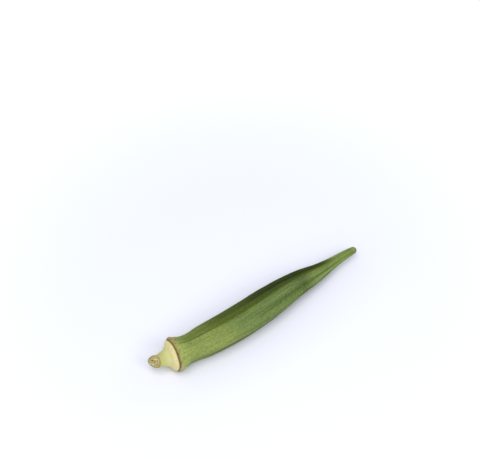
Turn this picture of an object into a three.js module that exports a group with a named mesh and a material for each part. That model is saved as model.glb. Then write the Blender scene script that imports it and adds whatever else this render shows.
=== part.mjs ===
// A picked okra pod lying on its side. Millimetres, +Z up.
// The cut stalk points along -X and the tip along +X, and the pod rests on z = 0.
//
// The pod is one grown piece, so it is one closed skin: rings of points along a gently bowed
// centre line, from the slanted cut of the stalk, over the cap and the corky ring, along the
// five-ribbed body to the blunt tip.
import * as THREE from 'three';

// ---- Driving sizes ----
const POD_LENGTH = 120; // cut face to tip, along the centre line
const STALK_RADIUS = 2.6;
const CAP_END = 8.7; // where the cap's rim meets the corky ring, from the cut face
const RING_PLACE = 10; // middle of the corky ring
const RING_RADIUS = 8.45;
const WAIST_RADIUS = 7.2; // just past the ring
const BODY_RADIUS = 8.4; // centre to rib at the fullest place
const TIP_RADIUS = 1.9;
const CUT_SLANT = 42; // degrees between the knife cut and a square cut
const CUT_FACING = 42; // the side that the cut faces, degrees from straight up towards -Y
const CUT_BLEND = 7; // the cut's slant has died out this far along the stalk
// The stalk's thicker and thinner sides, which leave it softly three-cornered: [facing, spread, height],
// the first two in degrees.
const STALK_SWELLS = [[112, 38, 1.1], [275, 50, -0.5]];
const SETTLED = 0.15; // depth of the small flats where the ribs press on the surface

// The ribs round the pod, in degrees from straight up towards -Y, measured at the ring.
const RIB_ANGLES = [8, 79, 143, 211, 290];
const RIB_COUNT = RIB_ANGLES.length;

// Each profile below is a list of [distance from the cut face, value].
// Radius from the centre line to a rib.
const RIB_RADIUS = [
  [0, STALK_RADIUS], [2.2, STALK_RADIUS + 0.1], [4.2, 3.45], [6.3, 4.7], [8, 7.25],
  [CAP_END, RING_RADIUS - 0.6], [RING_PLACE, RING_RADIUS], [11.3, RING_RADIUS - 0.15],
  [15, WAIST_RADIUS], [26.5, 7.9], [39, 8.3], [53, BODY_RADIUS], [65, 8.05],
  [78, 6.8], [88, 5.6], [97, 4.0], [106, 2.75],
  [113, 2.25], [117.5, TIP_RADIUS], [119.3, TIP_RADIUS - 0.4], [POD_LENGTH, TIP_RADIUS - 1.2],
];
// How far a face falls in between its two ribs, as a share of the radius.
const FACE_FALL = [
  [0, 0], [6, 0.01], [RING_PLACE, 0.05], [17, 0.13], [50, 0.15], [70, 0.17], [92, 0.2],
  [112, 0.14], [POD_LENGTH, 0.03],
];
// Depth of the shallow furrow down the middle of each face.
const FURROW_DEPTH = [[0, 0], [14, 0], [30, 0.1], [60, 0.32], [95, 0.3], [110, 0.12], [POD_LENGTH, 0]];
// Turn of the ribs about the centre line, in degrees.
const RIB_TWIST = [[0, 0], [12, 0], [34, 1], [60, 3], [90, 6.5], [POD_LENGTH, 10]];
// The centre line's sideways bow (y) and its height before the pod is set down (z).
const SIDE_BOW = [
  [0, 2.4], [5, 0.65], [9.5, -0.1], [25.5, -2.2], [43, -3.15], [60, -2.45], [78, -1.0], [98, -0.6],
  [110, 0.1], [POD_LENGTH, 0.3],
];
const RISE = [
  [0, 8.5], [9.5, 7.7], [38, 7.6], [52, 7.25], [66, 6.75], [82, 6.1], [98, 5.2], [110, 4.95], [POD_LENGTH, 4.6],
];

const FACE_SHARPNESS = 1.35; // nearer 1 gives crisper ribs, nearer 2 rounder ones
const FURROW_WIDTH = 0.09; // share of a face
const NERVE = { width: 0.06, height: 0.12 }; // the fine raised line along each rib, its width a share of a face
const RIB_WANDER = { degrees: 1, spacing: 17, phase: 1.9 }; // how the ribs stray from an even course
const SWELLING = { share: 0.012, spacing: 6.5, phase: 2.3 }; // slow rise and fall of each face over the seeds
const RIBBED_FROM = [13, 18]; // the ribs' fine forms fade in over this stretch past the ring
const RIBBED_TO = [108, 119]; // and fade out over this one towards the tip
const RING_GROOVE = { place: 8.85, width: 0.35, depth: 0.35 }; // between the cap's rim and the cork
const CORK_WIDTH = 1.3;
const CORK_WAVES = [[5, 0.16, 0.8], [11, 0.12, 2.1], [17, 0.08, 0]]; // [waves round the ring, height, phase]
const TIP_DOME = 0.2; // how far the very tip stands past the last ring of points

// ---- Mesh density ----
const STEPS_PER_FACE = 10;
const CUT_RINGS = [0.35, 0.7, 0.93]; // rings of points on the cut face, as shares of the stalk's radius
const STRETCHES = [ // [start, end, steps], closer together where the outline turns quickly
  [0, 4.2, 4], [4.2, 8, 5], [8, 11.6, 9], [11.6, 17, 4], [17, 113, 42], [113, POD_LENGTH, 7],
];

const radians = THREE.MathUtils.degToRad;

// A smooth curve through a profile's points: cubic pieces that share their slopes.
function profile(points, x) {
  const last = points.length - 1;
  const slopeOf = (i) => (points[i + 1][1] - points[i][1]) / (points[i + 1][0] - points[i][0]);
  const slopeAt = (i) => {
    if (i === 0) return slopeOf(0);
    if (i === last) return slopeOf(last - 1);
    const before = points[i][0] - points[i - 1][0];
    const after = points[i + 1][0] - points[i][0];
    return (slopeOf(i - 1) * after + slopeOf(i) * before) / (before + after);
  };
  if (x <= points[0][0]) return points[0][1] + slopeAt(0) * (x - points[0][0]);
  if (x >= points[last][0]) return points[last][1];
  let i = 0;
  while (x > points[i + 1][0]) i += 1;
  const width = points[i + 1][0] - points[i][0];
  const t = (x - points[i][0]) / width;
  const stay = (1 + 2 * t) * (1 - t) ** 2;
  const leave = t * (1 - t) ** 2 * width;
  const arrive = t * t * (t - 1) * width;
  return stay * points[i][1] + (1 - stay) * points[i + 1][1] + leave * slopeAt(i) + arrive * slopeAt(i + 1);
}

const bell = (x) => Math.exp(-x * x);

const { smoothstep } = THREE.MathUtils;

// How much of the ribs' fine forms shows at one place: 0 at the ring and the tip, 1 on the body.
const ribbed = (along) => smoothstep(along, ...RIBBED_FROM) * (1 - smoothstep(along, ...RIBBED_TO));

// Radius at one place: along the pod, on face number `face`, `share` of the way to its next rib.
function skinRadius(along, face, share, angle) {
  const rib = profile(RIB_RADIUS, along);
  const acrossFace = Math.sin(Math.PI * share);
  const fall = profile(FACE_FALL, along) * acrossFace ** FACE_SHARPNESS;
  const furrow = profile(FURROW_DEPTH, along) * bell((share - 0.5) / FURROW_WIDTH);
  const nerve = NERVE.height * bell(Math.min(share, 1 - share) / NERVE.width);
  const swelling = SWELLING.share * rib * acrossFace * Math.sin(along / SWELLING.spacing + SWELLING.phase * face);
  const waves = CORK_WAVES.reduce((sum, [count, height, phase]) => sum + height * Math.sin(count * angle + phase), 0);
  const cork = waves * bell((along - RING_PLACE) / CORK_WIDTH);
  const groove = RING_GROOVE.depth * bell((along - RING_GROOVE.place) / RING_GROOVE.width);
  const degrees = THREE.MathUtils.radToDeg(angle);
  const swells = STALK_SWELLS.reduce(
    (sum, [facing, spread, height]) => sum + height * bell((degrees - facing) / spread),
    0,
  );
  const swell = swells * (1 - smoothstep(along, 0.5, 5));
  return rib * (1 - fall) - furrow + (nerve + swelling) * ribbed(along) + cork - groove + swell;
}

// The angle of one rib at one place along the pod, in degrees.
function ribAngle(rib, along) {
  const turn = rib < RIB_COUNT ? 0 : 360;
  const wander = RIB_WANDER.degrees * Math.sin(along / RIB_WANDER.spacing + RIB_WANDER.phase * (rib % RIB_COUNT));
  return RIB_ANGLES[rib % RIB_COUNT] + turn + profile(RIB_TWIST, along) + wander * ribbed(along);
}

const centreAt = (along) => new THREE.Vector3(along, profile(SIDE_BOW, along), profile(RISE, along));

// The directions across the pod at one place: `up` and `out`, which is towards -Y.
function crossAxes(along) {
  const ahead = centreAt(along + 0.5).sub(centreAt(along - 0.5)).normalize();
  const up = new THREE.Vector3(0, 0, 1).addScaledVector(ahead, -ahead.z).normalize();
  return { up, out: new THREE.Vector3().crossVectors(ahead, up) };
}

// One ring of points round the pod. On the cut face `shrink` brings the ring in towards the pith.
function ringOfPoints(along, shrink = 1) {
  const { up, out } = crossAxes(along);
  const points = [];
  for (let face = 0; face < RIB_COUNT; face += 1) {
    const start = ribAngle(face, along);
    const end = ribAngle(face + 1, along);
    for (let step = 0; step < STEPS_PER_FACE; step += 1) {
      const share = step / STEPS_PER_FACE;
      const angle = radians(start + (end - start) * share);
      const radius = skinRadius(along, face, share, angle) * shrink;
      const fade = Math.max(1 - along / CUT_BLEND, 0);
      const slant = Math.tan(radians(CUT_SLANT)) * radius * Math.cos(angle - radians(CUT_FACING)) * fade;
      points.push(centreAt(along + slant)
        .addScaledVector(up, radius * Math.cos(angle))
        .addScaledVector(out, radius * Math.sin(angle)));
    }
  }
  return points;
}

function podGeometry() {
  const rings = CUT_RINGS.map((shrink) => ringOfPoints(0, shrink));
  rings.push(ringOfPoints(0));
  for (const [start, end, steps] of STRETCHES) {
    for (let step = 1; step <= steps; step += 1) rings.push(ringOfPoints(start + ((end - start) * step) / steps));
  }

  const points = rings.flat();
  const around = RIB_COUNT * STEPS_PER_FACE;
  const pith = points.push(centreAt(0)) - 1;
  const tip = points.push(centreAt(POD_LENGTH).setX(POD_LENGTH + TIP_DOME)) - 1;

  const faces = [];
  const lastRing = (rings.length - 1) * around;
  for (let i = 0; i < around; i += 1) {
    const next = (i + 1) % around;
    faces.push(pith, next, i, tip, lastRing + i, lastRing + next);
    for (let ring = 0; ring < rings.length - 1; ring += 1) {
      const a = ring * around + i;
      const b = ring * around + next;
      faces.push(a, b, a + around, b, b + around, a + around);
    }
  }

  // Set the pod down: centred over the origin, with the lowest ribs pressed flat at z = 0.
  const box = new THREE.Box3().setFromPoints(points);
  const middle = box.getCenter(new THREE.Vector3());
  for (const point of points) {
    point.x -= middle.x;
    point.y -= middle.y;
    point.z = Math.max(point.z - box.min.z - SETTLED, 0);
  }

  const geometry = new THREE.BufferGeometry().setFromPoints(points);
  geometry.setIndex(faces);
  geometry.computeVertexNormals();
  return geometry;
}

const okraGreen = new THREE.MeshStandardMaterial({ color: 0x8c9e52, roughness: 0.75, metalness: 0 });

const pod = new THREE.Mesh(podGeometry(), okraGreen);
pod.name = 'okra_pod';

const group = new THREE.Group();
group.add(pod);

export default group;
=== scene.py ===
import math

import bpy
import numpy as np
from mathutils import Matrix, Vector, noise


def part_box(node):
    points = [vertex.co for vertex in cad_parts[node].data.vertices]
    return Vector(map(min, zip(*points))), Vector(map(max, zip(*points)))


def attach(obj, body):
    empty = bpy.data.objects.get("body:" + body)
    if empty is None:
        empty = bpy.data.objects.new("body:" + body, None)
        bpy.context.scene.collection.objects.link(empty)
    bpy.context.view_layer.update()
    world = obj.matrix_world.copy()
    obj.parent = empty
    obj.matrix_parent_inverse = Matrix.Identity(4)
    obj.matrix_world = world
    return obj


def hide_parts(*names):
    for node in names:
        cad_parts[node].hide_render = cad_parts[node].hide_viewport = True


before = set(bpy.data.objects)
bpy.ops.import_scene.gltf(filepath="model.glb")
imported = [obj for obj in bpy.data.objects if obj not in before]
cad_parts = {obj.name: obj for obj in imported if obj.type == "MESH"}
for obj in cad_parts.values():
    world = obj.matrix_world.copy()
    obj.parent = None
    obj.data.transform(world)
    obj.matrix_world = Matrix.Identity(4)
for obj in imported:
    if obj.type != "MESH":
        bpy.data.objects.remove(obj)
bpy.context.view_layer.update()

# ---- The pod ---------------------------------------------------------------------------------
# An okra pod grows as one piece: a stalk, here cut on the slant, that flares into a pale cap, the
# corky scar that the calyx leaves round the cap's rim, and a body with five ribs and a blunt tip.
# It is one closed skin, rings of points along a gently bowed centre line, finer than the solid.

# In this section sizes are in millimetres, as a grower would give them, and angles in degrees.
metres = 0.001
pod_length = 120  # cut face to tip, along the centre line
stalk_radius = 2.6
cap_end = 8.7  # where the cap's rim meets the corky ring, from the cut face
ring_place = 10  # middle of the corky ring
ring_radius = 8.45
waist_radius = 7.2  # just past the ring
body_radius = 8.4  # centre to rib at the fullest place
tip_radius = 1.9
tip_dome = 0.2  # how far the very tip stands past the last ring of points
cut_slant = 42  # between the knife cut and a square cut
cut_facing = 42  # the side that the cut faces, from straight up towards -Y
cut_blend = 7  # the cut's slant has died out this far along the stalk
settled = 0.15  # depth of the small flats where the lowest ribs press on the surface

# The stalk's thicker and thinner sides, which leave it softly three-cornered.
stalk_swells = [(112, 38, 1.1), (275, 50, -0.5)]  # (facing, spread, height)
swells_fade = (0.5, 5)  # they die out over this stretch

# The ribs round the pod, from straight up towards -Y, measured at the ring.
rib_angles = [8, 79, 143, 211, 290]
rib_count = len(rib_angles)

# Each profile below is a list of (distance from the cut face, value).
# Radius from the centre line to a rib.
rib_radius = [
    (0, stalk_radius), (2.2, stalk_radius + 0.1), (4.2, 3.45), (6.3, 4.7), (8, 7.25),
    (cap_end, ring_radius - 0.6), (ring_place, ring_radius), (11.3, ring_radius - 0.15),
    (15, waist_radius), (26.5, 7.9), (39, 8.3), (53, body_radius), (65, 8.05),
    (78, 6.8), (88, 5.6), (97, 4.0), (106, 2.75),
    (113, 2.25), (117.5, tip_radius), (119.3, tip_radius - 0.4), (pod_length, tip_radius - 1.2),
]
# How far a face falls in between its two ribs, as a share of the radius.
face_fall = [
    (0, 0), (6, 0.01), (ring_place, 0.05), (17, 0.13), (50, 0.15), (70, 0.17), (92, 0.2), (112, 0.14),
    (pod_length, 0.03),
]
# Depth of the shallow furrow down the middle of each face.
furrow_depth = [(0, 0), (14, 0), (30, 0.1), (60, 0.32), (95, 0.3), (110, 0.12), (pod_length, 0)]
# Turn of the ribs about the centre line.
rib_twist = [(0, 0), (12, 0), (34, 1), (60, 3), (90, 6.5), (pod_length, 10)]
# The centre line's sideways bow (y) and its height before the pod is set down (z).
side_bow = [
    (0, 2.4), (5, 0.65), (9.5, -0.1), (25.5, -2.2), (43, -3.15), (60, -2.45), (78, -1.0), (98, -0.6),
    (110, 0.1), (pod_length, 0.3),
]
rise = [
    (0, 8.5), (9.5, 7.7), (38, 7.6), (52, 7.25), (66, 6.75), (82, 6.1), (98, 5.2), (110, 4.95),
    (pod_length, 4.6),
]

face_sharpness = 1.35  # nearer 1 gives crisper ribs, nearer 2 rounder ones
furrow_width = 0.09  # share of a face
nerve_width = 0.06  # of the fine raised line along each rib, as a share of a face
nerve_height = 0.12
wander_degrees = 1  # how the ribs stray from an even course
wander_spacing = 17
wander_phase = 1.9
swelling_share = 0.012  # slow rise and fall of each face over the seeds
swelling_spacing = 6.5
swelling_phase = 2.3
ribbed_from = (13, 18)  # the ribs' fine forms fade in over this stretch past the ring
ribbed_to = (108, 119)  # and fade out over this one towards the tip
groove_place = 8.85  # between the cap's rim and the cork
groove_width = 0.35
groove_depth = 0.35
cork_width = 1.3
cork_waves = [(5, 0.16, 0.8), (11, 0.12, 2.1), (17, 0.08, 0)]  # (waves round the ring, height, phase)

# The cork's ragged edge: its usual place, how much further it reaches where, as (facing, spread,
# reach), its five lobes, and how ragged and how blurred it is.
cork_end = 10.75
cork_reaches = [(-44, 22, 2.0), (90, 45, -0.4)]
lobe_count = 5
lobe_reach = 0.25
lobe_phase = 0.6
cork_raggedness = 0.8
cork_blur = 0.2
cork_start = (cap_end - 0.1, cap_end + 0.25)
cap_fade = (cap_end - 0.15, cap_end + 0.1)

# The stretches, as (start, full, fade, end), that have the cap's fine forms and the body's.
cap_stretch = (1.5, 4, cap_end - 0.5, cap_end)
body_stretch = (12, 17, 110, 119)

# Heights and depths of the finest forms.
cork_roughness = 0.17
crack_depth = 0.13
crack_width = 0.06
cap_fibre_height = 0.05
cap_unevenness = 0.1
wrinkle_height = 0.045
dimple_height = 0.07
crease_depth = 0.14
crease_facing = -5.5  # from the first rib, which it runs beside
crease_width = 3.2
crease_from = (11, 13.5)
crease_to = (22, 44)
tip_roughness = 0.12
tip_rough_from = (117.5, 119.6)
octave_step = 2.0  # each octave of noise is this much finer than the one before
octave_falloff = 0.7

# The dried cut face, with shares of its radius. Its hollows are (place, spread, depth), of which the
# middle one is raised, and its pale dry patches are (facing, place, size).
pith_depth = 0.3
pith_facing = -130
pith_offset = 0.26
cut_hollows = [(0, 0.22, pith_depth), (0.5, 0.12, -0.1), (0.8, 0.09, 0.16)]
cut_roughness = 0.16
cut_lumps_across = 3
cut_lumps_seed = 4.4
cut_lumps_octaves = 4
cut_lumps_falloff = 0.6
smooth_rim = 8  # the higher, the narrower the smooth edge of the cut face
centre_from_pith = 0.2
rim_width = 0.13
# The rim is brown all round; its darker side is painted shade.
rim_facing = -100  # where the brown rim is darkest
rim_spread = 75
rim_lightest = 0.25
cut_pale_places = [
    (-20, 0.24, 0.15), (20, 0.5, 0.1), (150, 0.62, 0.12), (-175, 0.76, 0.13), (-152, 0.83, 0.11),
    (-128, 0.86, 0.09),
]

# Small brown scars, the first of them just past the ring and the others anywhere on the body.
scar_count = 34
scars_by_ring = 20
ring_scars_from = 11.6
ring_scars_spread = 9
body_scars = (20, 112)
scar_sizes = (0.16, 0.34)
scar_stretch = 1.5  # how much longer than wide they are
scar_seed = 11


def profile(points, x):
    """A smooth curve through a profile's points: cubic pieces that share their slopes."""
    place, value = np.array(points, float).T
    gap = np.diff(place)
    slope = np.diff(value) / gap
    inner = (slope[:-1] * gap[1:] + slope[1:] * gap[:-1]) / (gap[:-1] + gap[1:])
    slopes = np.concatenate([slope[:1], inner, slope[-1:]])
    x = np.asarray(x, float)
    kept = np.clip(x, place[0], place[-1])
    i = np.clip(np.searchsorted(place, kept, side="right") - 1, 0, len(gap) - 1)
    t = (kept - place[i]) / gap[i]
    stay = (1 + 2 * t) * (1 - t) ** 2
    leave = t * (1 - t) ** 2 * gap[i]
    arrive = t * t * (t - 1) * gap[i]
    inside = stay * value[i] + (1 - stay) * value[i + 1] + leave * slopes[i] + arrive * slopes[i + 1]
    return inside + slopes[0] * np.minimum(x - place[0], 0)


def near(x, place, spread):
    """1 at a place, and fading to 0 about two spreads away on both sides of it."""
    return np.exp(-np.square((x - place) / spread))


def ease(x, start, end):
    """0 before start, 1 after end, smooth in between."""
    t = np.clip((x - start) / (end - start), 0, 1)
    return t * t * (3 - 2 * t)


def within(x, start, full, fade, end):
    """0 outside start and end, 1 between full and fade, smooth in between."""
    return ease(x, start, full) * (1 - ease(x, fade, end))


def signed(degrees):
    """The same angle, from -180 to 180."""
    return (degrees + 180) % 360 - 180


def rib_angle(rib, along):
    """The angle of one rib, in degrees from straight up towards -Y."""
    angles = np.array(rib_angles + [rib_angles[0] + 360])
    stray = np.sin(along / wander_spacing + wander_phase * (rib % rib_count))
    ribbed = within(along, *ribbed_from, *ribbed_to)
    return angles[rib] + profile(rib_twist, along) + wander_degrees * stray * ribbed


def skin_radius(along, face, share, angle):
    """Centre line to skin, on one face, a share of the way from its first rib to its second."""
    rib = profile(rib_radius, along)
    across = np.sin(np.pi * share)
    fall = profile(face_fall, along) * across ** face_sharpness
    furrow = profile(furrow_depth, along) * near(share, 0.5, furrow_width)
    nerve = nerve_height * near(np.minimum(share, 1 - share), 0, nerve_width)
    swelling = swelling_share * rib * across * np.sin(along / swelling_spacing + swelling_phase * face)
    waves = sum(height * np.sin(count * angle + phase) for count, height, phase in cork_waves)
    cork = waves * near(along, ring_place, cork_width)
    groove = groove_depth * near(along, groove_place, groove_width)
    ribbed = within(along, *ribbed_from, *ribbed_to)
    swell = 0
    for facing, spread, height in stalk_swells:
        swell = swell + height * near(np.degrees(angle), facing, spread) * (1 - ease(along, *swells_fade))
    return rib * (1 - fall) - furrow + (nerve + swelling) * ribbed + cork - groove + swell


def centre_at(along):
    """The centre line's point at one place along the pod."""
    return np.stack([along, profile(side_bow, along), profile(rise, along)], -1)


def across_axes(along):
    """The directions at one place: ahead along the pod, up, and out towards -Y."""
    reach = 0.5
    ahead = centre_at(along + reach) - centre_at(along - reach)
    ahead /= np.linalg.norm(ahead, axis=-1, keepdims=True)
    up = np.array([0, 0, 1]) - ahead * ahead[..., 2:]
    up /= np.linalg.norm(up, axis=-1, keepdims=True)
    return ahead, up, np.cross(ahead, up)


# The mesh: steps round each face, (start, end, steps) along the pod, and the rings of points on the
# cut face, as shares of its radius. Each array below has a row for each ring of points and a column
# for each step round the pod.
steps_per_face = 40
around = steps_per_face * rib_count
stretches = [
    (0, 0.06, 1), (0.06, 4.2, 16), (4.2, 8, 22), (8, 14, 44), (14, 22, 26), (22, 112, 236),
    (112, pod_length, 34),
]
cut_shares = np.append(np.arange(1, 16) / 16, 0.985)
cut_rings = len(cut_shares)

stations = [0.0]
for start, end, steps in stretches:
    stations += list(start + (end - start) * np.arange(1, steps + 1) / steps)
shrink = np.concatenate([cut_shares, np.ones(len(stations))])
along = np.concatenate([np.zeros(cut_rings), stations])[:, None]
rings = len(along)
column = np.arange(around)
face = column // steps_per_face
share = (column % steps_per_face) / steps_per_face
first_rib = rib_angle(face, along)
angle = np.radians(first_rib + (rib_angle(face + 1, along) - first_rib) * share)

# A place on the straightened pod, for patterns that follow the skin: along it and round it.
turn = 2 * np.pi * column / around
straight_rows = np.broadcast_arrays(along, body_radius * np.cos(turn), body_radius * np.sin(turn))
straight = np.stack(straight_rows, -1)


def ripple(size, seed, octaves=3):
    """Soft noise over the straightened pod; size is that of one ripple along it and round it."""
    places = straight / np.array([size[0], size[1], size[1]]) + seed
    places = [Vector(place) for place in places.reshape(-1, 3)]
    values = [noise.fractal(place, octave_falloff, octave_step, octaves) for place in places]
    return np.array(values).reshape(rings, around)


# Degrees round the pod from its first rib, which is nearly on top, and from straight up. Then how
# far off the nearest rib is, as a share of the face.
from_first_rib = signed(np.degrees(angle) - rib_angle(np.zeros_like(face), along))
from_top = signed(np.degrees(angle))
from_rib = np.minimum(share, 1 - share)

# The cork reaches from the cap's rim to a ragged edge, furthest at the upper back.
cork_edge = cork_end
for facing, spread, reach in cork_reaches:
    cork_edge = cork_edge + reach * near(from_top, facing, spread)
cork_edge = cork_edge + lobe_reach * np.cos(lobe_count * angle - lobe_phase)
cork_edge = cork_edge + cork_raggedness * ripple(size=(2.2, 1.3), seed=3.1)
cork = within(along, *cork_start, cork_edge - cork_blur, cork_edge + cork_blur)
cork_lumps = ripple(size=(1.2, 0.8), seed=7.7, octaves=4)
cork_cracks = near(ripple(size=(2.4, 0.7), seed=11.3, octaves=2), 0, crack_width)
on_cap = within(along, *cap_stretch)
on_body = within(along, *body_stretch)
crease = near(from_first_rib, crease_facing, crease_width)
crease = crease * ease(along, *crease_from) * (1 - ease(along, *crease_to))

# The relief: cracked cork, a fibrous cap, fine wrinkles and dimples down the body, the crease and
# the rough tip.
cork_relief = cork_roughness * cork_lumps - crack_depth * cork_cracks
cap_relief = cap_fibre_height * ripple(size=(4, 0.45), seed=31.4, octaves=2)
cap_relief = cap_relief + cap_unevenness * ripple(size=(4, 3), seed=5.5, octaves=2)
body_relief = wrinkle_height * ripple(size=(26, 0.85), seed=20.2, octaves=2)
body_relief = body_relief + dimple_height * ripple(size=(8, 2.6), seed=41.9, octaves=2)
tip_relief = tip_roughness * ease(along, *tip_rough_from) * ripple(size=(0.8, 0.9), seed=51.6, octaves=3)
relief = cork * cork_relief + on_cap * cap_relief + on_body * body_relief
relief = relief - crease_depth * crease + tip_relief

radius = (skin_radius(along, face, share, angle) + relief) * shrink[:, None]
slant = np.tan(math.radians(cut_slant)) * radius * np.cos(angle - math.radians(cut_facing))
place = along + slant * np.clip(1 - along / cut_blend, 0, None)
ahead, up, out = across_axes(np.broadcast_to(along, angle.shape))
outward = np.cos(angle)[..., None] * up + np.sin(angle)[..., None] * out
skin_points = centre_at(place) + radius[..., None] * outward

# The cut face dries: its woody rings stand up a little, and its pith, which is off centre, sinks.
# cut_place is the share of the way from the pith to the rim.
cut_share = np.where(along > 0, 1.0, shrink[:, None])
cut_up = cut_share * np.cos(angle)
cut_out = cut_share * np.sin(angle)
pith_shift = pith_offset * (1 - cut_share ** 2)
cut_place = np.hypot(
    cut_up - pith_shift * math.cos(math.radians(pith_facing)),
    cut_out - pith_shift * math.sin(math.radians(pith_facing)),
)
cut_sink = sum(depth * near(cut_place, middle, spread) for middle, spread, depth in cut_hollows)
cut_flat = np.stack([cut_up, cut_out, 0 * angle], -1)[:cut_rings].reshape(-1, 3)
cut_lumps = [
    noise.fractal(Vector(lump), cut_lumps_falloff, octave_step, cut_lumps_octaves)
    for lump in cut_flat * cut_lumps_across + cut_lumps_seed
]
cut_rough = cut_roughness * np.array(cut_lumps).reshape(cut_rings, around)
cut_rough = cut_rough * (1 - cut_share[:cut_rings] ** smooth_rim)
skin_points[:cut_rings] += ahead[:cut_rings] * (cut_sink[:cut_rings] + cut_rough)[..., None]

# Set down where the solid is: centred over its box, with the lowest ribs pressed flat.
pith = centre_at(0.0) + np.array([pith_depth, 0, 0])
tip = centre_at(float(pod_length)) + np.array([tip_dome, 0, 0])
points = np.vstack([skin_points.reshape(-1, 3), pith, tip])
low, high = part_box("okra_pod")
points += np.array([
    (low.x + high.x) / 2 / metres - (points[:, 0].min() + points[:, 0].max()) / 2,
    (low.y + high.y) / 2 / metres - (points[:, 1].min() + points[:, 1].max()) / 2,
    -points[:, 2].min() - settled,
])
points[:, 2] = np.maximum(points[:, 2], 0)

this_ring = np.arange(rings - 1)[:, None] * around
next_ring = this_ring + around
next_column = (column + 1) % around
corners = (this_ring + column, this_ring + next_column, next_ring + next_column, next_ring + column)
faces = np.stack(np.broadcast_arrays(*corners), -1).reshape(-1, 4).tolist()
last_ring = (rings - 1) * around
pith_index = rings * around
tip_index = pith_index + 1
sides = list(zip(column.tolist(), next_column.tolist()))
faces += [(pith_index, b, a) for a, b in sides]
faces += [(tip_index, last_ring + a, last_ring + b) for a, b in sides]
pod_mesh = bpy.data.meshes.new("okra_pod_skin")
pod_mesh.from_pydata((points * metres).tolist(), [], faces)
pod_mesh.shade_smooth()
pod = bpy.data.objects.new("okra_pod_skin", pod_mesh)
bpy.context.collection.objects.link(pod)


def keep(name, values, at_pith=0, at_tip=0):
    """Stores one number for each point of the skin, for the materials and the hairs."""
    values = np.broadcast_to(values, (rings, around)).reshape(-1)
    attribute = pod_mesh.attributes.new(name, "FLOAT", "POINT")
    attribute.data.foreach_set("value", np.concatenate([values, [at_pith, at_tip]]).astype(np.float32))


# Where the cap, the cork and its cracks are, and the dark of the groove between them, which is wider
# at the front and a little nearer the tip there.
groove_front = near(from_top, 52, 38)
groove_shift = 0.25 * groove_front
groove_dark = 0.33 + 0.27 * groove_front
keep("along", along / pod_length, at_tip=1)
keep("cap", 1 - ease(along, *cap_fade), at_pith=1)
keep("cork", cork)
keep("crack", np.clip(cork_cracks, 0, 1))
keep("groove", near(along - groove_place, groove_shift, groove_dark))

# The cut face, its brown rim, which has painted shade where it is darkest at the back, and its pale
# patches of dry pith.
from_rim_shade_side = signed(np.degrees(angle) - rim_facing)
rim_brown_with_painted_shade = rim_lightest + (1 - rim_lightest) * near(from_rim_shade_side, 0, rim_spread)
cut_pale = 0
for patch_facing, patch_out, patch_size in cut_pale_places:
    patch = math.radians(patch_facing)
    distance = np.hypot(cut_up - patch_out * math.cos(patch), cut_out - patch_out * math.sin(patch))
    cut_pale = cut_pale + near(distance, 0, patch_size)
keep("cut", np.where(along > 0, 0.0, 1.0), at_pith=1)
keep("cut_place", cut_place, at_pith=centre_from_pith, at_tip=1)
keep("cut_rim", near(cut_share, 1, rim_width) * rim_brown_with_painted_shade)
keep("cut_pale", np.clip(cut_pale, 0, 1))

random = np.random.default_rng(scar_seed)
scars = np.zeros((rings, around))
for scar in range(scar_count):
    if scar < scars_by_ring:
        scar_along = ring_scars_from + ring_scars_spread * random.random() ** 2
    else:
        scar_along = random.uniform(*body_scars)
    scar_turn = random.uniform(0, 2 * math.pi)
    scar_size = random.uniform(*scar_sizes)
    turned = (turn - scar_turn + math.pi) % (2 * math.pi) - math.pi
    off_round = turned * profile(rib_radius, scar_along)
    scars += near(np.hypot((along - scar_along) / scar_stretch, off_round), 0, scar_size)
keep("scars", np.clip(scars, 0, 1) * (1 - cork))

# The back and underside are darker, partly a deeper green that they grew in shade and partly painted
# shade. The back's edge follows the first rib, sharp near the ring and soft further down. Both lighten
# again round the far side, and the back does at the tip. The edges are places and half widths, in
# degrees from that rib or from the sunny side.
sun_facing = 50
light_side = signed(from_top - sun_facing)
back_edge = -1 + 6 * near(along, 44, 14) - 3 * ease(along, 60, 80)
back_blur = 1.5 + 8.5 * ease(along, 22, 45)
behind = 1 - ease(from_first_rib, back_edge - back_blur, back_edge + back_blur)
behind = behind * (1 - 0.5 * ease(-light_side, 105, 150)) * (1 - 0.7 * ease(along, 100, 109))
under_edge = 48 - 36 * ease(along, 55, 108)
under = 0.8 * ease(light_side, under_edge, under_edge + 36) * (1 - 0.375 * ease(light_side, 120, 175))
grown_and_painted_shade = np.clip(np.where(light_side < 0, behind, under), 0, 1)
keep("grown_and_painted_shade", grown_and_painted_shade)

# Painted shade: the deepest green is painted well behind the first rib, less so at one place along it
# and by the tip, and painted shade darkens the lower edge of the front towards the tip.
depth = ease(-from_first_rib, 14, 44) * (1 - ease(-light_side, 100, 150)) * ease(along, 20, 55)
keep("depth", depth * (1 - 0.42 * near(along, 47, 9)) * (1 - 0.9 * ease(along, 96, 109)))
keep("painted_low_edge_shade", within(light_side, 24, 52, 85, 125) * ease(along, 60, 100))

# Bands along the faces: pale ones beside the ribs, and a dark one down each middle, which is
# narrower towards the tip. On the first rib are painted shade in the crease near the ring, with a fainter
# dark band beside it, and a painted grey sheen.
nearer_tip = ease(along, 84, 94)
middle = near(share, 0.53, 0.13 - 0.06 * nearer_tip) * (0.8 + 0.2 * nearer_tip)
shoulder = near(from_first_rib, 20, 13) * ease(along, 13, 18) * (1 - ease(along, 58, 74))
keep("beside_rib", near(from_rib, 0.22, 0.13) * (1 - 0.85 * grown_and_painted_shade))
keep("middle", middle * (1 - 0.75 * ease(along, 101, 111)))
keep("crease", np.clip(crease + 0.22 * shoulder, 0, 1))
keep("painted_rib_sheen", near(from_first_rib, 0, 9) * near(along, 55, 12))
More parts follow.
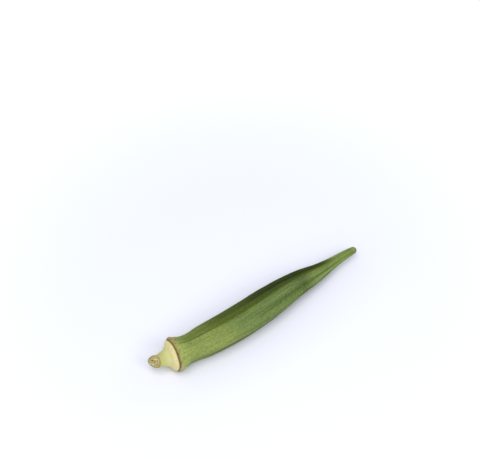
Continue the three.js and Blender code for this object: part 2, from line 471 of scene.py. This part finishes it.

# Painted highlights lie along two edges of the tip, and it is paler on its very end and on one side a
# little before it. The cork is lighter in front too, which is painted light.
highlighted_sides = [(-52, 22, (101, 109), 1.0), (118, 18, (102, 110), 0.9)]
highlight_and_pale_spot = 0
for facing, spread, highlight_from, amount in highlighted_sides:
    highlight_and_pale_spot = highlight_and_pale_spot + amount * near(from_top, facing, spread) * ease(along, *highlight_from)
highlight_and_pale_spot = highlight_and_pale_spot + 0.8 * near(from_top, -10, 60) * near(along, 118.3, 1.3)
highlight_and_pale_spot = highlight_and_pale_spot + 0.6 * near(from_first_rib, 51, 8) * near(along, 97, 7)
keep("highlight_and_pale_spot", highlight_and_pale_spot + near(from_top, 100, 24) * cork)

# Hairs grow on the body, thinly on the cap, and nowhere that they would reach the surface.
cap_hairiness = 0.2
clear_heights = (0.5, 1.0)
off_surface = ease(points[:-2, 2].reshape(rings, around), *clear_heights)
keep("haired", (on_body * (1 - cork) + cap_hairiness * on_cap) * off_surface)
straight_attribute = pod_mesh.attributes.new("straight", "FLOAT_VECTOR", "POINT")
straight_points = np.vstack([straight.reshape(-1, 3), (0, 0, 0), (pod_length, 0, 0)])
straight_attribute.data.foreach_set("vector", straight_points.astype(np.float32).ravel())


def add_node(tree, kind, **inputs):
    """Adds a node and sets or links its inputs; input_0 and the like count the sockets."""
    node = tree.nodes.new(kind)
    for name, value in inputs.items():
        counted = name.startswith("input_")
        if hasattr(node, name) and not counted:
            setattr(node, name, value)
            continue
        socket = node.inputs[int(name[6:]) if counted else name.replace("_", " ")]
        if isinstance(value, bpy.types.NodeSocket):
            tree.links.new(value, socket)
        elif socket.type == "RGBA":
            socket.default_value = (*value, 1.0)
        else:
            socket.default_value = value
    return node


def colour(red, green, blue):
    """A colour as seen on a screen, 0 to 255, turned into light."""
    shares = [level / 255 for level in (red, green, blue)]
    return tuple(((s + 0.055) / 1.055) ** 2.4 if s > 10 / 255 else s / 12.92 for s in shares)


class Finish:
    """A material made of nodes. Each method adds nodes and gives back what they put out."""

    def __init__(self, name):
        self.material = bpy.data.materials.new(name)
        self.material.use_nodes = True
        self.material.node_tree.nodes.clear()

    def node(self, kind, **inputs):
        return add_node(self.material.node_tree, kind, **inputs)

    def sums(self, operation, a, b, clamp=False):
        node = self.node("ShaderNodeMath", operation=operation, use_clamp=clamp, input_0=a, input_1=b)
        return node.outputs[0]

    def plus(self, a, b, clamp=False):
        return self.sums("ADD", a, b, clamp)

    def times(self, a, b):
        return self.sums("MULTIPLY", a, b)

    def stored(self, name, strength=1.0):
        """A number that the mesh keeps for each of its points, times a strength."""
        value = self.node("ShaderNodeAttribute", attribute_name=name).outputs["Fac"]
        return value if strength == 1.0 else self.times(value, strength)

    def between(self, value, low, high, to_low=0.0, to_high=1.0):
        """Rescales a number smoothly, held at both ends."""
        return self.node(
            "ShaderNodeMapRange", interpolation_type="SMOOTHSTEP", Value=value,
            From_Min=low, From_Max=high, To_Min=to_low, To_Max=to_high,
        ).outputs["Result"]

    def mixed(self, amount, a, b, blend="MIX"):
        """Mixes two colours. Each of amount, a and b is a value or what another node puts out."""
        return self.node(
            "ShaderNodeMix", data_type="RGBA", blend_type=blend, input_0=amount, input_6=a, input_7=b,
        ).outputs[2]

    def ramp(self, value, stops):
        """A colour for each value, from a list of (value, colour)."""
        node = self.node("ShaderNodeValToRGB", input_0=value)
        elements = node.color_ramp.elements
        while len(elements) < len(stops):
            elements.new(0.5)
        for element, (position, tone) in zip(elements, stops):
            element.position = position
            element.color = (*tone, 1.0)
        return node.outputs["Color"]

    def grain(self, size, along_size, detail, seed):
        """Noise that follows the skin; sizes in millimetres, round the pod and along it."""
        where = self.node("ShaderNodeAttribute", attribute_name="straight").outputs["Vector"]
        scale = (1 / along_size, 1 / size, 1 / size)
        shift = (seed, seed, seed)
        scaled = self.node("ShaderNodeVectorMath", operation="MULTIPLY", input_0=where, input_1=scale)
        moved = self.node("ShaderNodeVectorMath", operation="ADD", input_0=scaled.outputs[0], input_1=shift)
        grains = self.node("ShaderNodeTexNoise", Vector=moved.outputs[0], Scale=1.0, Detail=detail)
        return grains.outputs["Fac"]

    def surface(self, **inputs):
        shader = self.node("ShaderNodeBsdfPrincipled", **inputs)
        self.node("ShaderNodeOutputMaterial", Surface=shader.outputs["BSDF"])


painted_shade_green = colour(41, 52, 12)
scar_brown = colour(118, 92, 48)
tip_brown = colour(120, 104, 62)
pale_highlight_green = colour(158, 168, 118)
cap_green = colour(190, 196, 100)
cap_fibre = colour(178, 178, 108)
crack_brown = colour(92, 76, 40)
painted_cork_light = colour(208, 194, 136)
rim_brown = colour(84, 70, 34)
dry_pith = colour(238, 230, 196)

skin = Finish("pod_skin")
run = skin.stored("along")
streaks = skin.grain(size=0.8, along_size=14, detail=3, seed=1.0)
veins = skin.grain(size=0.34, along_size=30, detail=2, seed=15.0)
patches = skin.grain(size=3.5, along_size=9, detail=3, seed=5.0)
mottle = skin.grain(size=0.55, along_size=1.2, detail=4, seed=7.0)
specks = skin.grain(size=0.26, along_size=0.36, detail=2, seed=9.0)

# Green flesh: yellower beside the ring and deeper down the pod, with a darker band about two thirds
# along that is partly painted shade. The back and underside are darker, partly a green grown in shade
# and partly painted shade.
# Each stop is (share of the way along the pod, colour).
sunny = skin.ramp(run, [
    (0.1, colour(144, 158, 85)), (0.135, colour(127, 142, 76)), (0.2, colour(127, 141, 76)),
    (0.28, colour(122, 137, 71)), (0.36, colour(106, 124, 67)), (0.46, colour(96, 114, 61)),
    (0.57, colour(93, 112, 57)), (0.63, colour(88, 106, 53)), (0.69, colour(75, 91, 44)),
    (0.75, colour(101, 120, 61)), (0.82, colour(101, 118, 58)), (0.92, colour(107, 126, 59)),
    (1.0, colour(95, 111, 51)),
])
shade = skin.ramp(run, [
    (0.1, colour(134, 148, 79)), (0.135, colour(115, 129, 62)), (0.2, colour(110, 125, 57)),
    (0.3, colour(88, 103, 38)), (0.42, colour(79, 94, 31)), (0.55, colour(65, 78, 19)),
    (0.69, colour(60, 75, 18)), (0.79, colour(84, 101, 31)), (0.86, colour(101, 117, 49)),
    (0.92, colour(113, 131, 57)), (1.0, colour(104, 119, 54)),
])
green = skin.mixed(skin.stored("grown_and_painted_shade"), sunny, shade)
# Painted shade: the deepest green, well behind the first rib.
green = skin.mixed(skin.stored("depth", strength=0.8), green, painted_shade_green)

# The bands and patches tint it, those beside and between the ribs only further down the pod. The grey
# sheen on the first rib and the darkening of the crease and of the lower edge are painted sheen and shade.
down_pod = skin.between(run, 0.35, 0.6)
for where, tint in [
    (skin.times(skin.stored("beside_rib"), down_pod), (1.22, 1.2, 1.35)),
    (skin.times(skin.stored("middle"), down_pod), (0.63, 0.7, 0.58)),
    (skin.stored("painted_rib_sheen"), (1.1, 1.12, 1.42)),
    (skin.stored("crease"), (0.55, 0.62, 0.5)),
    (skin.stored("painted_low_edge_shade"), (0.5, 0.53, 0.45)),
    (skin.between(patches, 0.5, 0.7), (1.08, 1.04, 0.9)),
]:
    green = skin.mixed(where, green, tint, "MULTIPLY")

# Then the fine streaks, veins, mottling and specks, and the scars, with painted highlights along the
# tip's edges and paler spots over them.
streak_tone = skin.between(streaks, 0.3, 0.7, 0.88, 1.12)
fine_tone = skin.times(streak_tone, skin.between(mottle, 0.35, 0.65, 0.84, 1.16))
fine_tone = skin.times(fine_tone, skin.between(specks, 0.56, 0.7, 0.99, 1.38))
fine_tone = skin.times(fine_tone, skin.between(veins, 0.35, 0.65, 0.9, 1.1))
green = skin.mixed(1.0, green, fine_tone, "MULTIPLY")
green = skin.mixed(skin.stored("scars", strength=0.6), green, scar_brown)
tip_scar = skin.times(skin.between(run, 0.985, 0.998), 0.7)
green = skin.mixed(tip_scar, green, tip_brown)
green = skin.mixed(skin.stored("highlight_and_pale_spot", strength=0.6), green, pale_highlight_green)

# The cap: yellow-green at its neck and cream at its rim, with faint fibres and greener patches.
cap_fibres = skin.grain(size=0.6, along_size=5, detail=2, seed=3.0)
cap_patches = skin.grain(size=2.2, along_size=3, detail=2, seed=23.0)
pale = skin.ramp(run, [
    (0.0, colour(174, 168, 104)), (0.02, colour(184, 186, 119)), (0.036, colour(200, 199, 136)),
    (0.049, colour(212, 207, 150)), (0.059, colour(229, 214, 160)), (0.068, colour(230, 213, 160)),
])
off_rim = skin.between(run, 0.045, 0.062, 1.0, 0.3)
patchy = skin.times(skin.between(cap_patches, 0.45, 0.7, 0.0, 0.45), off_rim)
pale = skin.mixed(patchy, pale, cap_green)
pale = skin.mixed(skin.between(cap_fibres, 0.5, 0.3, 0.0, 0.35), pale, cap_fibre)

# Cork: tan, lighter on its crests, with painted light in front and dark cracks. The groove beside it is
# dark.
cork_grain = skin.grain(size=0.6, along_size=0.6, detail=4, seed=13.0)
tan = skin.ramp(cork_grain, [
    (0.3, colour(112, 95, 53)), (0.46, colour(156, 143, 87)), (0.6, colour(174, 164, 106)),
    (0.75, colour(202, 190, 138)),
])
tan = skin.mixed(skin.stored("crack", strength=0.6), tan, crack_brown)
tan = skin.mixed(skin.stored("highlight_and_pale_spot", strength=0.6), tan, painted_cork_light)
groove_tone = skin.ramp(cork_grain, [(0.35, colour(72, 58, 27)), (0.65, colour(106, 98, 50))])

# The cut face: a brown rim, pale flesh, woody rings, a dark pith, and pale dry patches. Each stop
# is (share of the way from the pith to the rim, colour).
cut_grains_per_metre = 1400.0
on_cut = skin.node("ShaderNodeTexCoord").outputs["Object"]
cut_noise = skin.node("ShaderNodeTexNoise", Vector=on_cut, Scale=cut_grains_per_metre, Detail=3.0)
cut_grain = cut_noise.outputs["Fac"]
cut_where = skin.plus(skin.stored("cut_place"), skin.between(cut_grain, 0.3, 0.7, -0.07, 0.07))
cut_tone = skin.ramp(cut_where, [
    (0.0, colour(150, 134, 82)), (0.07, colour(100, 86, 46)), (0.16, colour(120, 106, 60)),
    (0.25, colour(196, 186, 130)), (0.36, colour(176, 162, 108)), (0.44, colour(120, 104, 58)),
    (0.52, colour(190, 178, 126)), (0.66, colour(182, 168, 114)), (0.74, colour(140, 124, 72)),
    (0.84, colour(198, 184, 132)), (0.94, colour(170, 156, 98)), (1.0, colour(150, 134, 80)),
])
cut_tone = skin.mixed(skin.stored("cut_rim"), cut_tone, rim_brown)
pale_patches = skin.times(skin.stored("cut_pale"), skin.between(cut_grain, 0.3, 0.6, 0.4, 0.95))
cut_tone = skin.mixed(pale_patches, cut_tone, dry_pith)

skin_colour = skin.mixed(skin.stored("cap"), green, pale)
skin_colour = skin.mixed(skin.stored("cork"), skin_colour, tan)
skin_colour = skin.mixed(skin.stored("groove", strength=0.85), skin_colour, groove_tone)
skin_colour = skin.mixed(skin.stored("cut"), skin_colour, cut_tone)

# The skin has a soft satin face. Cork, the cut and the darker back and underside are duller.
dry = skin.plus(skin.stored("cork"), skin.stored("cut"), clamp=True)
dull = skin.plus(dry, skin.stored("grown_and_painted_shade"), clamp=True)
satin = skin.between(specks, 0.3, 0.7, 0.52, 0.66)
roughness = skin.plus(satin, skin.times(dull, 0.25))
skin_bumps = skin.plus(skin.times(specks, 0.6), skin.plus(streaks, mottle))
cut_bumps = skin.times(skin.times(cut_grain, skin.stored("cut")), 4.0)
bumps = skin.plus(skin_bumps, cut_bumps)
bump = skin.node("ShaderNodeBump", Height=bumps, Strength=0.35, Distance=0.00015)
skin.surface(
    Base_Color=skin_colour, Roughness=roughness, Normal=bump.outputs["Normal"], Specular_IOR_Level=0.14,
    Sheen_Weight=0.03, Sheen_Roughness=0.4, Sheen_Tint=(0.9, 1.0, 0.6),
)
pod_mesh.materials.append(skin.material)

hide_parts("okra_pod")
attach(pod, "root")

# ---- Hairs -----------------------------------------------------------------------------------
# Okra's skin is downy: short, stiff, pale hairs that lean towards the tip, thinner on the cap and
# none on the cork or the cut. Each is a three-sided spike scattered over the skin.
hairs_per_area = 9.0e6  # to the square metre, where they grow thickest
hair_length = 0.0003
hair_radius = 0.000022  # at the root
hair_sides = 3
hair_sizes = (0.5, 1.25)  # the smallest and largest, as shares of the size above
hair_lean = (0.45, 0.0, 0.0)
hair_stray = 0.5
hair_seed = 5

# Clear hairs take on the colour behind them: cream on the cap, and on the darker back and underside
# a deeper green that carries the skin's painted shade.
hair = Finish("pale_hair")
hair_green = hair.mixed(hair.stored("grown_and_painted_shade"), colour(160, 172, 112), colour(104, 120, 50))
hair_green = hair.mixed(hair.stored("depth"), hair_green, colour(64, 78, 22))
hair_colour = hair.mixed(hair.stored("cap"), hair_green, colour(226, 218, 166))
hair.surface(Base_Color=hair_colour, Roughness=0.6, Specular_IOR_Level=0.2)

hair_tree = bpy.data.node_groups.new("skin_hairs", "GeometryNodeTree")
hair_tree.interface.new_socket("Geometry", in_out="INPUT", socket_type="NodeSocketGeometry")
hair_settings = {}
for name, kind, value in [
    ("Density", "NodeSocketFloat", hairs_per_area), ("Length", "NodeSocketFloat", hair_length),
    ("Radius", "NodeSocketFloat", hair_radius), ("Lean", "NodeSocketVector", hair_lean),
    ("Stray", "NodeSocketFloat", hair_stray), ("Seed", "NodeSocketInt", hair_seed),
]:
    socket = hair_tree.interface.new_socket(name, in_out="INPUT", socket_type=kind)
    hair_settings[socket.identifier] = value
hair_tree.interface.new_socket("Geometry", in_out="OUTPUT", socket_type="NodeSocketGeometry")


def grow(kind, **inputs):
    """Adds a node to the hairs' tree."""
    return add_node(hair_tree, kind, **inputs)


given = grow("NodeGroupInput").outputs
haired = grow("GeometryNodeInputNamedAttribute", data_type="FLOAT", Name="haired").outputs["Attribute"]
density = grow("ShaderNodeMath", operation="MULTIPLY", input_0=haired, input_1=given["Density"]).outputs[0]
scattered = grow(
    "GeometryNodeDistributePointsOnFaces", distribute_method="RANDOM", Mesh=given["Geometry"],
    Density=density, Seed=given["Seed"],
)
spike = grow(
    "GeometryNodeMeshCone", fill_type="NONE", Vertices=hair_sides, Radius_Top=0.0,
    Radius_Bottom=given["Radius"], Depth=given["Length"],
)
stray = grow(
    "FunctionNodeRandomValue", data_type="FLOAT_VECTOR", input_0=(-1, -1, -1), input_1=(1, 1, 1),
    Seed=given["Seed"],
)
strayed = grow("ShaderNodeVectorMath", operation="SCALE", input_0=stray.outputs[0], Scale=given["Stray"])
leant = grow("ShaderNodeVectorMath", operation="ADD", input_0=strayed.outputs[0], input_1=given["Lean"])
upright = scattered.outputs["Normal"]
pointing = grow("ShaderNodeVectorMath", operation="ADD", input_0=leant.outputs[0], input_1=upright)
turned_hair = grow("FunctionNodeAlignRotationToVector", axis="Z", Vector=pointing.outputs[0])
smallest, largest = hair_sizes
hair_size = grow(
    "FunctionNodeRandomValue", data_type="FLOAT", input_2=smallest, input_3=largest, Seed=given["Seed"],
)
placed = grow(
    "GeometryNodeInstanceOnPoints", Points=scattered.outputs["Points"], Instance=spike.outputs["Mesh"],
    Rotation=turned_hair.outputs[0], Scale=hair_size.outputs[1],
)
realized = grow("GeometryNodeRealizeInstances", Geometry=placed.outputs["Instances"])
coloured = grow("GeometryNodeSetMaterial", Geometry=realized.outputs["Geometry"], Material=hair.material)
grow("NodeGroupOutput", Geometry=coloured.outputs["Geometry"])

# The tree works on a copy of the skin, which goes once the hairs are a plain mesh of their own.
skin_copy = bpy.data.objects.new("skin_for_hairs", pod_mesh)
bpy.context.collection.objects.link(skin_copy)
grower = skin_copy.modifiers.new("hairs", "NODES")
grower.node_group = hair_tree
for identifier, value in hair_settings.items():
    grower[identifier] = value
grown = skin_copy.evaluated_get(bpy.context.evaluated_depsgraph_get())
hair_mesh = bpy.data.meshes.new_from_object(grown)
hair_mesh.name = "okra_pod_hairs"
bpy.data.objects.remove(skin_copy)
hairs = bpy.data.objects.new("okra_pod_hairs", hair_mesh)
bpy.context.collection.objects.link(hairs)

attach(hairs, "root")

# ---- The surface -----------------------------------------------------------------------------
# A plain sheet of paper, with a faint blue painted shadow round the pod and white further out, wide
# enough that its edge is far outside the view. Away from the pod it also glows a little, a painted glow
# that shows only to the camera, so that the far part stays white in low views and lights nothing.
sheet_half = 8
painted_shadow_beside_pod = (0.832, 0.843, 0.942)
painted_shade_round_pod = (0.855, 0.87, 0.975)
white = (1.0, 1.0, 1.0)
pod_stretch = (0.33, 1.0, 1.0)  # the first tone reaches three times further along the pod than across
tones_meet = (0.018, 0.034)
whitens_over = (0.07, 0.27)
near_glow_strength = 0.13
far_glow_over = (0.2, 2.0)
far_glow_strength = 0.7

sheet_corners = [(x * sheet_half, y * sheet_half, 0) for x, y in ((-1, -1), (1, -1), (1, 1), (-1, 1))]
sheet_mesh = bpy.data.meshes.new("surface")
sheet_mesh.from_pydata(sheet_corners, [], [(0, 1, 2, 3)])
sheet = bpy.data.objects.new("surface", sheet_mesh)
bpy.context.collection.objects.link(sheet)

paper = Finish("white_paper")
on_paper = paper.node("ShaderNodeTexCoord").outputs["Object"]
from_pod = paper.node("ShaderNodeVectorMath", operation="LENGTH", input_0=on_paper).outputs["Value"]
squeezed = paper.node("ShaderNodeVectorMath", operation="MULTIPLY", input_0=on_paper, input_1=pod_stretch)
off_pod = paper.node("ShaderNodeVectorMath", operation="LENGTH", input_0=squeezed.outputs[0])
# Painted shadow: darkest and bluest beside the pod, fainter round it, and gone further out.
tone_share = paper.between(off_pod.outputs["Value"], *tones_meet)
paper_with_painted_shade = paper.mixed(tone_share, painted_shadow_beside_pod, painted_shade_round_pod)
paper_with_painted_shade = paper.mixed(paper.between(from_pod, *whitens_over), paper_with_painted_shade, white)
near_glow = paper.between(from_pod, *whitens_over, 0.0, near_glow_strength)
far_glow = paper.between(from_pod, *far_glow_over, 0.0, far_glow_strength)
to_camera = paper.node("ShaderNodeLightPath").outputs["Is Camera Ray"]
paper_glow = paper.times(paper.plus(near_glow, far_glow), to_camera)
paper.surface(Base_Color=paper_with_painted_shade, Roughness=0.9, Emission_Strength=paper_glow, Emission_Color=white)
sheet_mesh.materials.append(paper.material)

# ---- Light and camera ------------------------------------------------------------------------
# A pale room lights the pod from all round and shows to the camera as plain white. A large soft
# lamp hangs above the stalk, and a weaker one stands in front. The camera looks down on the pod
# from the front, past its stalk.
room_colour = (0.91, 0.95, 1.0)
room_strength = 0.6
lamp_colour = (1.0, 0.985, 0.965)
lamps = [  # (name, place, size across, watts)
    ("key", (-0.25, -0.25, 0.95), 0.85, 5.7),
    ("front", (0.15, -0.7, 0.65), 0.5, 2.0),
]
camera_azimuth = math.radians(-36.74)
camera_elevation = math.radians(49)
camera_distance = 0.58306
camera_lens = 85
camera_sensor = 36
aim = Vector((0.02474, 0.05033, 0))

world = bpy.data.worlds.new("studio")
world.use_nodes = True
world.node_tree.nodes.clear()
room = add_node(world.node_tree, "ShaderNodeBackground", Color=room_colour, Strength=room_strength)
backdrop = add_node(world.node_tree, "ShaderNodeBackground", Color=white, Strength=1.0)
seen = add_node(world.node_tree, "ShaderNodeLightPath").outputs["Is Camera Ray"]
room_or_backdrop = add_node(
    world.node_tree, "ShaderNodeMixShader", input_0=seen, input_1=room.outputs["Background"],
    input_2=backdrop.outputs["Background"],
)
add_node(world.node_tree, "ShaderNodeOutputWorld", Surface=room_or_backdrop.outputs["Shader"])
bpy.context.scene.world = world
bpy.context.scene.view_settings.view_transform = "Standard"

for name, position, size, watts in lamps:
    lamp = bpy.data.lights.new(name, "AREA")
    lamp.shape = "DISK"
    lamp.size = size
    lamp.energy = watts
    lamp.color = lamp_colour
    light = bpy.data.objects.new(name, lamp)
    light.location = position
    light.rotation_euler = (-Vector(position)).to_track_quat("-Z", "Y").to_euler()
    bpy.context.collection.objects.link(light)

back = Vector((
    math.sin(camera_azimuth) * math.cos(camera_elevation),
    -math.cos(camera_azimuth) * math.cos(camera_elevation),
    math.sin(camera_elevation),
))
camera = bpy.data.objects.new("camera", bpy.data.cameras.new("camera"))
camera.data.lens = camera_lens
camera.data.sensor_width = camera_sensor
camera.location = aim + back * camera_distance
camera.rotation_euler = (-back).to_track_quat("-Z", "Y").to_euler()
bpy.context.collection.objects.link(camera)
bpy.context.scene.camera = camera
